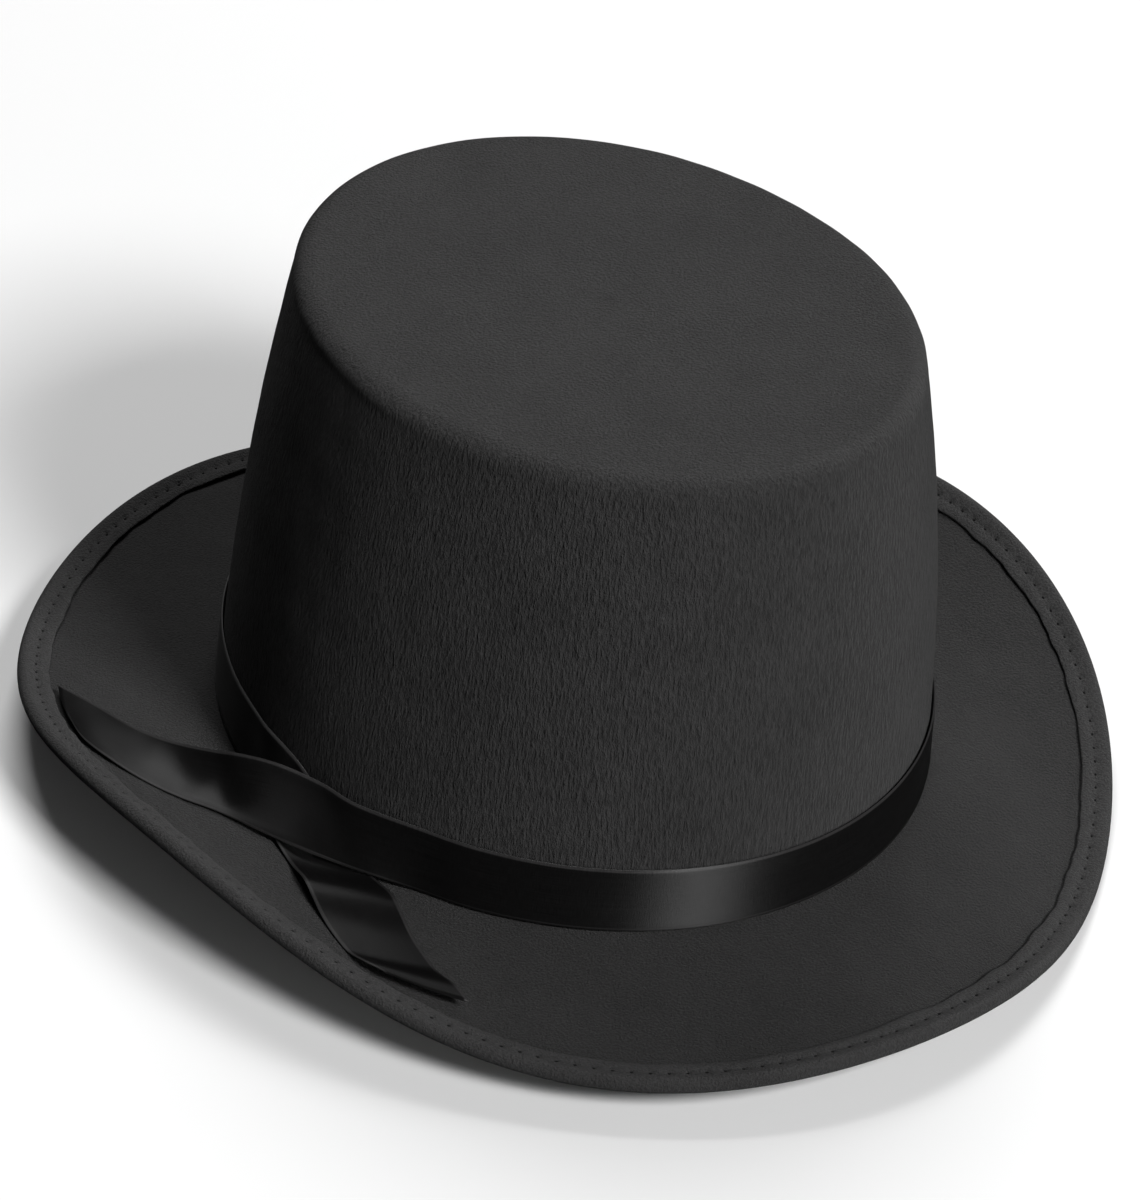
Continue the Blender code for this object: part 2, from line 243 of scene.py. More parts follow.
def over_brim(points):
    """Turns (x, y, height over the brim) into (x, y, z)."""
    points = np.asarray(points, float)
    x, y, above = points[..., 0], points[..., 1], points[..., 2]
    angle = np.arctan2(y / BASE_Y, x / BASE_X)
    for _ in range(ANGLE_ROUNDS):
        nx, ny = outward(angle)
        reach = np.hypot(x - BASE_X * np.cos(angle), y - BASE_Y * np.sin(angle))
        angle = np.arctan2((y - ny * reach) / BASE_Y, (x - nx * reach) / BASE_X)
    along = reach
    foot_x, foot_y = BASE_X * np.cos(angle), BASE_Y * np.sin(angle)
    for _ in range(LENGTH_ROUNDS):
        point = brim_frame(angle, along)[0]
        got = np.hypot(point[..., 0] - foot_x, point[..., 1] - foot_y)
        along = along + reach - got
    return np.stack([x, y, point[..., 2] + BRIM_FELT / 2 + above], axis=-1)


def ripple(points, scale, seed):
    """Smooth repeatable unevenness of about -1 to 1, with features of about 1 / scale metres."""
    rng = np.random.default_rng(seed)
    total = np.zeros(points.shape[:-1])
    for _ in range(RIPPLE_WAVES):
        direction = rng.normal(size=3)
        direction *= scale * rng.uniform(0.6, 1.6) * 2 * math.pi / np.linalg.norm(direction)
        total += np.sin(points @ direction + rng.uniform(0, 2 * math.pi))
    return total / 4


def swell(place, middle, spread):
    """A smooth hump of height 1."""
    return np.exp(-(((place - middle) / spread) ** 2))


# ---- meshes ----
def grid_object(name, grid, wrap_rows=False, wrap_columns=False):
    """A mesh through a grid of points, rows by columns."""
    rows, columns = grid.shape[:2]
    mesh = bpy.data.meshes.new(name)
    row_steps = rows if wrap_rows else rows - 1
    column_steps = columns if wrap_columns else columns - 1
    r, c = np.meshgrid(np.arange(row_steps), np.arange(column_steps), indexing="ij")
    r2, c2 = (r + 1) % rows, (c + 1) % columns
    corners = [r * columns + c, r * columns + c2, r2 * columns + c2, r2 * columns + c]
    quads = np.stack(corners, axis=-1)
    mesh.from_pydata(grid.reshape(-1, 3).tolist(), [], quads.reshape(-1, 4).tolist())
    mesh.shade_smooth()
    made = bpy.data.objects.new(name, mesh)
    bpy.context.scene.collection.objects.link(made)
    return made


def add_texture_grid(made, grid):
    """Stores where along and across the piece each vertex lies, in metres, for the materials."""
    attribute = made.data.attributes.new("cloth", "FLOAT_VECTOR", "POINT")
    places = grid.reshape(-1, 3).astype(np.float32)
    attribute.data.foreach_set("vector", places.ravel())
    layer = made.data.uv_layers.new(name="cloth_uv")
    corners = np.empty(len(made.data.loops), dtype=int)
    made.data.loops.foreach_get("vertex_index", corners)
    layer.data.foreach_set("uv", places[corners, :2].ravel())


def add_painted_light(made, grid_rows, columns):
    """Marks how much each ring of a felt piece is painted lighter, for its material: painted light
    on the brim's hem, rim and underside, painted shade on its upper face.
    """
    attribute = made.data.attributes.new("painted_light_share", "FLOAT", "POINT")
    shares = np.zeros(len(made.data.vertices), dtype=np.float32)
    rings = np.repeat(np.asarray(grid_rows, np.float32), columns)
    shares[: len(rings)] = rings
    attribute.data.foreach_set("value", shares)


def finish_piece(made, finish, slot, *nodes):
    """Gives a piece its material, and says which nodes of the part it replaces. The slot is not
    used.
    """
    made.data.materials.append(finish)
    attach(made, "root")
    if nodes:
        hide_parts(*nodes)
    return made


# ---- materials ----
def new_material(name, **sockets):
    """A material whose shader has the given sockets set, with _ for each space in their names."""
    made = bpy.data.materials.new(name)
    made.use_nodes = True
    shader = made.node_tree.nodes["Principled BSDF"]
    for socket, value in sockets.items():
        shader.inputs[socket.replace("_", " ")].default_value = value
    return made, made.node_tree, shader


def stretched_noise(tree, coordinates, scales, detail=3.0, roughness=0.6):
    """Noise whose features are 1 / scale metres long along each axis."""
    mapping = tree.nodes.new("ShaderNodeMapping")
    mapping.inputs["Scale"].default_value = scales
    tree.links.new(coordinates, mapping.inputs["Vector"])
    noise = tree.nodes.new("ShaderNodeTexNoise")
    noise.inputs["Scale"].default_value = 1.0
    noise.inputs["Detail"].default_value = detail
    noise.inputs["Roughness"].default_value = roughness
    tree.links.new(mapping.outputs["Vector"], noise.inputs["Vector"])
    return noise.outputs["Fac"]


def ramp(tree, source, stops):
    """Turns a value into greys, through stops of (value, shade)."""
    made = tree.nodes.new("ShaderNodeValToRGB")
    elements = made.color_ramp.elements
    elements[0].position, elements[0].color = stops[0][0], grey(stops[0][1])
    elements[1].position, elements[1].color = stops[-1][0], grey(stops[-1][1])
    for position, shade in stops[1:-1]:
        elements.new(position).color = grey(shade)
    tree.links.new(source, made.inputs["Fac"])
    return made.outputs["Color"]


def grey(shade):
    """A grey with a very slight warmth, as a colour."""
    return (shade, shade * 0.985, shade * 0.99, 1.0)


def combine(tree, first, second, operation):
    """Maths on two values, each an output socket or a number."""
    made = tree.nodes.new("ShaderNodeMath")
    made.operation = operation
    for socket, source in zip(made.inputs, (first, second)):
        if isinstance(source, float):
            socket.default_value = source
        else:
            tree.links.new(source, socket)
    return made.outputs[0]


def blend(tree, first, share, second):
    """The first value's share of the total, and the second value for the rest."""
    first_part = combine(tree, first, share, "MULTIPLY")
    second_part = combine(tree, second, 1 - share, "MULTIPLY")
    return combine(tree, first_part, second_part, "ADD")


def bump(tree, shader, height, distance, strength=1.0):
    """Roughens the shader's surface by a height between 0 and 1, over a distance in metres."""
    made = tree.nodes.new("ShaderNodeBump")
    made.inputs["Distance"].default_value = distance
    made.inputs["Strength"].default_value = strength
    tree.links.new(height, made.inputs["Height"])
    tree.links.new(made.outputs["Normal"], shader.inputs["Normal"])


def felt_material(name, nap_scales, nap_depth):
    """Wool felt: a dull black with a short nap combed one way. Each piece carries a share that
    scales its colour from painted shade up to painted light.
    """
    made, tree, shader = new_material(
        name, Roughness=0.95, Sheen_Weight=0.06, Sheen_Roughness=0.4, Specular_IOR_Level=0.12
    )
    place = tree.nodes.new("ShaderNodeTexCoord").outputs["Object"]
    nap = stretched_noise(tree, place, nap_scales, 3.0, 0.65)
    grain = stretched_noise(tree, place, (2400, 2400, 2400), 2.0, 0.6)
    cloud = stretched_noise(tree, place, (45, 45, 45), 3.0, 0.6)
    fibres = blend(tree, nap, 0.8, grain)
    tone = blend(tree, fibres, 0.8, cloud)
    colour = ramp(tree, tone, ((0.34, 0.021), (0.50, 0.034), (0.66, 0.046)))
    # Painted light and shade: the share scales the felt's colour from 0.72 to 1.08 times
    painted_light_share = tree.nodes.new("ShaderNodeAttribute")
    painted_light_share.attribute_name = "painted_light_share"
    shade = combine(tree, combine(tree, painted_light_share.outputs["Fac"], 0.36, "MULTIPLY"), 0.72, "ADD")
    shaded = tree.nodes.new("ShaderNodeVectorMath")
    shaded.operation = "SCALE"
    tree.links.new(colour, shaded.inputs[0])
    tree.links.new(shade, shaded.inputs["Scale"])
    tree.links.new(shaded.outputs["Vector"], shader.inputs["Base Color"])
    height = tree.nodes.new("ShaderNodeSeparateXYZ")
    tree.links.new(place, height.inputs["Vector"])
    share = combine(tree, height.outputs["Z"], 1 / HEIGHT, "MULTIPLY")
    pressed = ramp(tree, share, ((0.95, 1.0), (0.99, 0.85)))
    bump(tree, shader, combine(tree, fibres, pressed, "MULTIPLY"), nap_depth)
    return made


def satin_material(name):
    """Polyester satin: very fine threads run along the ribbon, and a corded selvedge edges it, with
    a painted highlight along both edges.
    """
    made, tree, shader = new_material(
        name, Specular_IOR_Level=0.27, Anisotropic=1.0, Anisotropic_Rotation=0.25
    )
    attribute = tree.nodes.new("ShaderNodeAttribute")
    attribute.attribute_name = "cloth"
    place = attribute.outputs["Vector"]
    tangent = tree.nodes.new("ShaderNodeTangent")
    tangent.direction_type = "UV_MAP"
    tree.links.new(tangent.outputs["Tangent"], shader.inputs["Tangent"])
    threads = stretched_noise(tree, place, (60, 9000, 1), 2.0, 0.5)
    weft = stretched_noise(tree, place, (4500, 300, 1), 2.0, 0.5)
    weave = blend(tree, threads, 0.6, weft)
    cloud = stretched_noise(tree, place, (40, 90, 1), 2.0, 0.5)
    split = tree.nodes.new("ShaderNodeSeparateXYZ")
    tree.links.new(place, split.inputs["Vector"])
    share = combine(tree, split.outputs["Y"], 1 / RIBBON_WIDTH, "MULTIPLY")
    # Painted highlight: the base colour is five times lighter along both edges, as light caught by
    # the selvedge
    painted_edge_highlight = ((0.0, 5.0), (0.035, 5.0), (0.05, 1.0), (0.95, 1.0), (0.965, 5.0), (1.0, 5.0))
    edge = ramp(tree, share, painted_edge_highlight)
    colour = tree.nodes.new("ShaderNodeVectorMath")
    colour.operation = "MULTIPLY"
    tree.links.new(ramp(tree, weave, ((0.35, 0.003), (0.65, 0.007))), colour.inputs[0])
    tree.links.new(edge, colour.inputs[1])
    tree.links.new(colour.outputs["Vector"], shader.inputs["Base Color"])
    tree.links.new(ramp(tree, cloud, ((0.3, 0.42), (0.7, 0.52))), shader.inputs["Roughness"])
    bump(tree, shader, weave, 0.0001, 0.5)
    return made


def woven_material(name, dark, light, pitch, roughness):
    """Plain woven tape or cloth, with threads at a pitch in metres."""
    made, tree, shader = new_material(
        name, Roughness=roughness, Sheen_Weight=0.2, Sheen_Roughness=0.5
    )
    attribute = tree.nodes.new("ShaderNodeAttribute")
    attribute.attribute_name = "cloth"
    mapping = tree.nodes.new("ShaderNodeMapping")
    mapping.inputs["Scale"].default_value = (math.pi / pitch, math.pi / pitch, 1.0)
    tree.links.new(attribute.outputs["Vector"], mapping.inputs["Vector"])
    split = tree.nodes.new("ShaderNodeSeparateXYZ")
    tree.links.new(mapping.outputs["Vector"], split.inputs["Vector"])
    warp = combine(tree, split.outputs["X"], 0.0, "SINE")
    weft = combine(tree, split.outputs["Y"], 0.0, "SINE")
    crossed = combine(tree, combine(tree, warp, weft, "MULTIPLY"), 0.5, "MULTIPLY")
    weave = combine(tree, crossed, 0.5, "ADD")
    slubs = stretched_noise(tree, attribute.outputs["Vector"], (300, 900, 1))
    tone = blend(tree, weave, 0.5, slubs)
    tree.links.new(ramp(tree, tone, ((0.3, dark), (0.7, light))), shader.inputs["Base Color"])
    bump(tree, shader, tone, pitch / 2, 0.7)
    return made


def thread_material(name):
    """Black sewing thread with a fine twist."""
    made, tree, shader = new_material(name, Roughness=0.9, Specular_IOR_Level=0.1)
    place = tree.nodes.new("ShaderNodeTexCoord").outputs["Object"]
    twist = stretched_noise(tree, place, (5000, 5000, 5000), 1.0)
    tree.links.new(ramp(tree, twist, ((0.3, 0.003), (0.7, 0.008))), shader.inputs["Base Color"])
    bump(tree, shader, twist, 0.0001)
    return made


def wire_material(name):
    """Drawn steel."""
    made, tree, shader = new_material(name, Metallic=1.0)
    place = tree.nodes.new("ShaderNodeTexCoord").outputs["Object"]
    drawn = stretched_noise(tree, place, (900, 900, 900), 2.0)
    tree.links.new(ramp(tree, drawn, ((0.3, 0.30), (0.7, 0.42))), shader.inputs["Base Color"])
    tree.links.new(ramp(tree, drawn, ((0.3, 0.30), (0.7, 0.50))), shader.inputs["Roughness"])
    return made


# ---- the crown ----
def crown_rings(inset, edge_radius, bottom, wall_rings, edge_rings, top_rings):
    """Rings of (x axis, y axis, z): up the wall, over the edge and in across the top."""
    shoulder = HEIGHT - edge_radius
    rings = []
    for z in np.linspace(bottom, shoulder, wall_rings):
        x_axis, y_axis = wall_axes(z)
        rings.append((x_axis - inset, y_axis - inset, z))
    x_axis, y_axis = wall_axes(shoulder)
    for turn in np.linspace(0, math.pi / 2, edge_rings + 1)[1:]:
        pull = edge_radius - (edge_radius - inset) * math.cos(turn)
        z = shoulder + (edge_radius - inset) * math.sin(turn)
        rings.append((x_axis - pull, y_axis - pull, z))
    last_x, last_y, top = rings[-1]
    for share in np.linspace(1, 0, top_rings + 1)[1:-1]:
        rings.append((last_x * share, last_y * share, top))
    return rings


def ring_grid(rings, angle):
    """Points round each ring of (x axis, y axis, z)."""
    x_axis, y_axis, z = (np.array(rings)[:, i, None] for i in range(3))
    points = [x_axis * np.cos(angle), y_axis * np.sin(angle), z * np.ones(len(angle))]
    return np.stack(points, axis=-1)


def make_crown(felt):
    """Blocked felt with a soft, slightly uneven surface; the inside follows the outside."""
    angle = np.linspace(0, 2 * math.pi, CROWN_COLUMNS, endpoint=False)
    outside = crown_rings(0.0, VISUAL_EDGE_RADIUS, FOOT_HEIGHT, *OUTSIDE_RINGS)
    inside = crown_rings(CROWN_FELT, VISUAL_EDGE_RADIUS, FOOT_HEIGHT, *INSIDE_RINGS)
    grids = []
    for rings in (outside, inside):
        grid = ring_grid(rings, angle)
        x_axis = np.array(rings)[:, 0, None]
        wave = ripple(grid, 14, 3) * WALL_WAVE + ripple(grid, 55, 4) * WALL_PUCKER
        fade = np.clip((grid[..., 2] - WALL_EVEN_TO) / WALL_FADE, 0, 1)
        spread = np.clip(x_axis / TOP_X, 0, 1) * np.ones(CROWN_COLUMNS)
        grid[..., 0] += np.cos(angle) * wave * fade * spread
        grid[..., 1] += np.sin(angle) * wave * fade * spread
        flat = np.clip((grid[..., 2] - (HEIGHT - VISUAL_EDGE_RADIUS)) / VISUAL_EDGE_RADIUS, 0, 1)
        grid[..., 2] -= flat * (TOP_SAG + TOP_SAG * ripple(grid, 9, 8))
        grids.append(grid)
    grid = np.concatenate([grids[0][::-1], grids[1]], axis=0)
    crown = grid_object("crown", grid, wrap_columns=True)
    close_ends(crown, len(grid), CROWN_COLUMNS)
    # The crown's felt is painted a little lighter than the brim's upper face, as painted light
    add_painted_light(crown, np.full(len(grid), CROWN_PAINTED_LIGHT), CROWN_COLUMNS)
    return finish_piece(crown, felt, "felt", "crown_felt")


def close_ends(made, rows, columns):
    """Fans the first and the last ring of a grid to a point in their middle."""
    mesh = bmesh.new()
    mesh.from_mesh(made.data)
    verts = list(mesh.verts)
    for ring in (verts[:columns][::-1], verts[(rows - 1) * columns : rows * columns]):
        middle = mesh.verts.new(sum((v.co for v in ring), Vector()) / columns)
        for i in range(columns):
            mesh.faces.new((ring[i], ring[(i + 1) % columns], middle))
    bmesh.ops.recalc_face_normals(mesh, faces=mesh.faces)
    mesh.to_mesh(made.data)
    mesh.free()
    made.data.shade_smooth()


# ---- the brim ----
def seam_angles():
    """Angles round the hat with the same number of columns to every stitch of the hem's seam."""
    fine = np.linspace(0, 2 * math.pi, SEAM_SAMPLES)
    width = harmonics(BRIM_WIDTH, fine)
    line = brim_frame(fine, width - HEM_SEAM_INSET)[0]
    steps = np.linalg.norm(np.diff(line, axis=0), axis=1)
    length = np.concatenate([[0], np.cumsum(steps)])
    columns = round(length[-1] / STITCH_PITCH) * COLUMNS_PER_STITCH
    marks = np.arange(columns) / columns * length[-1]
    return np.interp(marks, length, fine)


def hem_dip(inward, phase):
    """How far the seam pulls the felt down: a groove that is deepest under each stitch."""
    across = swell(inward, HEM_SEAM_INSET, GROOVE_WIDTH)
    needle = np.clip(np.cos(phase), 0, 1) ** 2
    return across * (GROOVE_DEPTH + NEEDLE_DEPTH * needle)


def hem_lift(spot):
    """How far the hem's free edge stands off the brim, at places along the rim."""
    return HEM_REST + LIFT_WANDER * ripple(spot, 24, 22) + LIFT_PUCKER * ripple(spot, 90, 21)


def collar_fillet(angle, radius, turns):
    """Rows of points round the bend from the collar to the brim."""
    middle = CROWN_FELT + GAP - FILLET
    height = BRIM_FELT / 2 + FILLET
    return [
        wall_point(angle, height - radius * math.sin(turn), middle + radius * math.cos(turn))
        for turn in turns
    ]


def make_brim(felt, angle):
    """One closed loop of felt, row by row: collar, underside, rim, hem and upper face."""
    half = BRIM_FELT / 2
    collar = CROWN_FELT + GAP
    outer = BRIM_FELT + WIRE_CHANNEL
    centre = half + WIRE_CHANNEL
    laid = half + GAP
    width = harmonics(BRIM_WIDTH, angle)
    phase = np.arange(len(angle)) / COLUMNS_PER_STITCH * 2 * math.pi
    spot = brim_frame(angle, width)[0]
    lift = hem_lift(spot)
    edge = HEM_WIDTH + EDGE_PUCKER * ripple(spot, 90, 21) + EDGE_WANDER * ripple(spot, 40, 23)
    turns = np.linspace(0, math.pi / 2, 5)

    # The collar's top and the underside, with the seam's groove
    rows = [wall_point(angle, COLLAR_HEIGHT, inset) for inset in (collar, collar + BRIM_FELT)]
    rows += collar_fillet(angle, FILLET + BRIM_FELT, turns)
    for share in np.linspace(0, 1, FLAT_ROWS):
        along = share * (width - HEM_WIDTH - 0.003)
        rows.append(felt_row(angle, along, -half, -FELT_SOFTNESS))
    for inward in np.linspace(HEM_WIDTH + 0.002, outer + 0.0006, 12):
        dip = hem_dip(inward, phase + math.pi)
        rows.append(felt_row(angle, width - inward, dip - half, 0.0))

    # The rim, the hem's upper side, its free edge and its lower side
    for turn in np.linspace(-math.pi / 2, math.pi / 2, 15):
        inward = outer - outer * math.cos(turn)
        rows.append(felt_row(angle, width - inward, centre + outer * math.sin(turn), 0.0))
    for share in np.linspace(0.12, 1, 14):
        inward = outer + (edge - HEM_EDGE_ROUND - outer) * share
        settle = min(1.0, share * HEM_SETTLE)
        pressed_share = max(0.0, (share - PRESSED_FROM) / (1 - PRESSED_FROM))
        pressed = (BRIM_FELT - HEM_EDGE) * pressed_share**2
        drop = laid + BRIM_FELT - pressed + lift * share - centre - outer
        top = centre + outer + drop * settle
        rows.append(felt_row(angle, width - inward, top - hem_dip(inward, phase), 0.0))
    for turn in np.linspace(math.pi / 5, math.pi, 5):
        inward = edge - HEM_EDGE_ROUND + HEM_EDGE_ROUND * math.sin(turn)
        middle = laid + lift + HEM_EDGE / 2
        rows.append(felt_row(angle, width - inward, middle + HEM_EDGE / 2 * math.cos(turn), 0.0))
    for share in np.linspace(0.9, 0.1, 6):
        inward = outer + (edge - HEM_EDGE_ROUND - outer) * share
        rise = np.clip((CHANNEL_MOUTH - inward) / (CHANNEL_MOUTH - outer), 0, 1)
        under = laid + lift * share + (centre + WIRE_CHANNEL - laid) * rise
        rows.append(felt_row(angle, width - inward, under, 0.0))
    for turn in np.linspace(math.pi / 2, -math.pi / 2, 7):
        inward = outer - WIRE_CHANNEL * math.cos(turn)
        rows.append(felt_row(angle, width - inward, centre + WIRE_CHANNEL * math.sin(turn), 0.0))
    painted_light_rows = len(rows)

    # The upper face, under the hem and on to the collar
    for inward in np.linspace(outer + 0.001, HEM_WIDTH + 0.003, 5):
        rows.append(felt_row(angle, width - inward, half, 0.0))
    for share in np.linspace(1, 0, FLAT_ROWS):
        along = share * (width - HEM_WIDTH - 0.004)
        rows.append(felt_row(angle, along, half, FELT_SOFTNESS))
    rows += collar_fillet(angle, FILLET, turns[::-1])

    # Painted light on the underside, rim and hem; painted shade on the brim's upper face
    painted_light_share = np.where(np.arange(len(rows)) < painted_light_rows, 1.0, 0.0)
    brim = grid_object("brim", np.stack(rows), wrap_rows=True, wrap_columns=True)
    flip_if_inside_out(brim)
    add_painted_light(brim, painted_light_share, len(angle))
    return finish_piece(brim, felt, "felt", "brim_felt")


def felt_row(angle, along, above, soft):
    """One ring of the brim, with a little of the unevenness that steamed felt keeps."""
    row = brim_point(angle, along, np.broadcast_to(above, angle.shape))
    share = np.clip(along / SOFTNESS_FADE, 0, 1)
    row[..., 2] += soft * share * (ripple(row, 30, 31) + 0.5 * ripple(row, 80, 32))
    return row


def make_wire(metal, angle):
    """The round wire that the hem is folded over, in the middle of its channel."""
    inward = BRIM_FELT + WIRE_CHANNEL
    middle = BRIM_FELT / 2 + WIRE_CHANNEL
    along = harmonics(BRIM_WIDTH, angle) - inward
    rows = []
    for turn in np.linspace(0, 2 * math.pi, 10, endpoint=False):
        above = np.full_like(angle, middle + WIRE_RADIUS * math.sin(turn))
        rows.append(brim_point(angle, along + WIRE_RADIUS * math.cos(turn), above))
    made = grid_object("rim_wire", np.stack(rows), wrap_rows=True, wrap_columns=True)
    flip_if_inside_out(made)
    return finish_piece(made, metal, "wire", "brim_wire")


def flip_if_inside_out(made):
    """Turns a closed mesh of quads the right way out, by the sign of its volume."""
    mesh = made.data
    points = np.empty(len(mesh.vertices) * 3)
    mesh.vertices.foreach_get("co", points)
    points = points.reshape(-1, 3)
    corners = np.empty(len(mesh.loops), dtype=int)
    mesh.loops.foreach_get("vertex_index", corners)
    quads = points[corners.reshape(-1, 4)]
    first = np.einsum("ij,ij->i", quads[:, 0], np.cross(quads[:, 1], quads[:, 2]))
    second = np.einsum("ij,ij->i", quads[:, 0], np.cross(quads[:, 2], quads[:, 3]))
    if (first + second).sum() < 0:
        mesh.flip_normals()


# ---- stitches ----
def stitch_mesh(points, normals, directions, length, radius, rows=7, sides=7):
    """Small closed thread humps: each rises out of the cloth, lies on it and goes back in."""
    verts, faces = [], []
    for point, normal, direction in zip(points, normals, directions):
        side = np.cross(normal, direction)
        base = len(verts)
        for i in range(rows):
            share = i / (rows - 1) * 2 - 1
            lift = radius * (1.0 - 2.6 * share**4)
            thick = radius * (1.0 - 0.35 * share**4)
            centre = point + direction * share * length / 2 + normal * lift
            for j in range(sides):
                turn = 2 * math.pi * j / sides
                verts.append(centre + thick * (side * math.cos(turn) + normal * math.sin(turn)))
        for i in range(rows - 1):
            for j in range(sides):
                k = (j + 1) % sides
                a, b = base + i * sides, base + (i + 1) * sides
                faces.append((a + j, a + k, b + k, b + j))
        faces.append(tuple(base + j for j in range(sides))[::-1])
        faces.append(tuple(base + (rows - 1) * sides + j for j in range(sides)))
    return np.array(verts), faces


def thread_object(name, batches):
    """One object out of several batches of stitches."""
    verts, faces = [], []
    count = 0
    for batch_verts, batch_faces in batches:
        verts.append(batch_verts)
        faces += [tuple(i + count for i in face) for face in batch_faces]
        count += len(batch_verts)
    mesh = bpy.data.meshes.new(name)
    mesh.from_pydata(np.concatenate(verts).tolist(), [], faces)
    mesh.shade_smooth()
    made = bpy.data.objects.new(name, mesh)
    bpy.context.scene.collection.objects.link(made)
    return made


def make_hem_stitches(thread, angle):
    """A running stitch: on the hem's upper side, and half a pitch further on the underside."""
    half = BRIM_FELT / 2
    upper = (0, half + GAP + BRIM_FELT, 1)
    under = (COLUMNS_PER_STITCH // 2, -half, -1)
    batches = []
    for offset, above, sign in (upper, under):
        mid = angle[offset::COLUMNS_PER_STITCH]
        width = harmonics(BRIM_WIDTH, mid)
        spot = brim_frame(mid, width)[0]
        level = above + (hem_lift(spot) * HEM_SEAM_SHARE if sign > 0 else 0.0)
        point, tangent, normal = brim_frame(mid, width - HEM_SEAM_INSET)
        dip = hem_dip(np.full_like(mid, HEM_SEAM_INSET), np.zeros_like(mid)) - STITCH_LEVEL
        point = point + normal * (level - sign * dip)[:, None]
        direction = np.cross(normal, tangent)
        batches.append(stitch_mesh(point, normal * sign, direction, STITCH_LENGTH, STITCH_RADIUS))
    made = thread_object("hem_stitches", batches)
    return finish_piece(made, thread, "thread", "hem_thread")


# ---- the ribbon ----
def smooth_rows(rows, steps):
    """A Catmull-Rom curve through rows of points, with a number of steps between each two."""
    rows = np.asarray(rows, float)
    padded = np.concatenate([2 * rows[:1] - rows[1:2], rows, 2 * rows[-1:] - rows[-2:-1]])
    result = []
    for i in range(len(rows) - 1):
        a, b, c, d = padded[i : i + 4]
        square = 2 * a - 5 * b + 4 * c - d
        cube = 3 * b - a - 3 * c + d
        for t in np.arange(steps) / steps:
            result.append(0.5 * (2 * b + (c - a) * t + square * t**2 + cube * t**3))
    result.append(rows[-1])
    return np.array(result)


def across_ribbon(rows, columns):
    """Spreads outer edge, middle and inner edge into many points, on a parabola through them."""
    t = np.linspace(0, 1, columns)[None, :, None]
    a, m, b = rows[:, 0:1], rows[:, 1:2], rows[:, 2:3]
    return a * (1 - t) * (1 - 2 * t) + m * 4 * t * (1 - t) + b * t * (2 * t - 1)


def make_band(satin):
    """The ribbon: its front end over the brim, once round the crown, and its rear end."""
    off = -2 * GAP - RIBBON_THICKNESS / 2
    levels = [BAND_FOOT + RIBBON_WIDTH * share for share in (0, 0.5, 1)]
    turns = np.radians(np.arange(BAND_START, BAND_END + 1, BAND_STEP))
    front = over_brim(np.array(FRONT_END) / 1000)
    around = np.array([[wall_point(turn, z, off) for z in levels] for turn in turns])
    rear = over_brim(np.array(REAR_END) / 1000)
    rows = np.concatenate([front, around, rear])
    middle = across_ribbon(smooth_rows(rows, RIBBON_STEPS), RIBBON_COLUMNS)
    middle[..., 2] += tail_waves(middle)
    made, length = ribbon_solid("ribbon", middle, RIBBON_THICKNESS, RIBBON_WIDTH)
    finish_piece(made, satin, "satin", "hat_band")
    return made


def tail_waves(middle):
    """The slack in the ends: the rear one has a ridge, and both lift a little at the cut."""
    x, y, z = (middle[..., i] for i in range(3))
    rear = np.arange(len(middle))[:, None] > len(middle) / 2
    on_brim = rear & (x < ON_BRIM_X) & (z < ON_BRIM_Z)
    slant = y + SLANT_SLOPE * (x - SLANT_X)
    clear = CLEAR_HEIGHT * swell(slant, CLEAR_AT, CLEAR_SPREAD)
    ridge_spread = np.where(slant > RIDGE_AT, RIDGE_NEAR, RIDGE_FAR)
    ridge = RIDGE_HEIGHT * swell(slant, RIDGE_AT, ridge_spread)
    end = np.clip((REAR_LIFT_AT - slant) / REAR_LIFT_REACH, 0, 1)
    rear_cut = REAR_LIFT * end**2 * (3 - 2 * end)
    front_cut = FRONT_LIFT * np.clip((y - FRONT_LIFT_AT) / FRONT_LIFT_REACH, 0, 1)
    across = ((x - DIMPLE_X) / DIMPLE_SPREAD_X) ** 2
    dimple = DIMPLE_DEPTH * np.exp(-across - ((y - DIMPLE_Y) / DIMPLE_SPREAD_Y) ** 2)
    rear_slack = np.where(on_brim, ridge + rear_cut + clear, 0.0)
    return rear_slack + np.where(rear, 0.0, front_cut - dimple)


def ribbon_solid(name, middle, thickness, width):
    """Gives a sheet of points its thickness, with a slightly raised selvedge on both edges."""
    along = np.gradient(middle, axis=0)
    across = np.gradient(middle, axis=1)
    normal = np.cross(across, along)
    normal /= np.linalg.norm(normal, axis=-1, keepdims=True)
    count = middle.shape[1]
    t = np.linspace(0, 1, count)
    thick = np.full(count, thickness / 2 * FACE_SHARE)
    thick[[1, -2]] = thickness / 2 * CORD_SHARE
    thick[[0, -1]] = thickness / 2 * EDGE_SHARE
    top = middle + normal * thick[None, :, None]
    bottom = middle - normal * thick[None, :, None]
    steps = np.linalg.norm(np.diff(middle[:, count // 2], axis=0), axis=1)
    run = np.concatenate([[0], np.cumsum(steps)])
    loop = np.concatenate([top, bottom[:, ::-1]], axis=1)
    cloth = np.zeros_like(loop)
    cloth[..., 0] = run[:, None]
    cloth[..., 1] = np.concatenate([t, t[::-1]])[None, :] * width
    made = grid_object(name, loop, wrap_columns=True)
    add_texture_grid(made, cloth)
    cap_ribbon(made, len(loop), loop.shape[1])
    return made, float(run[-1])


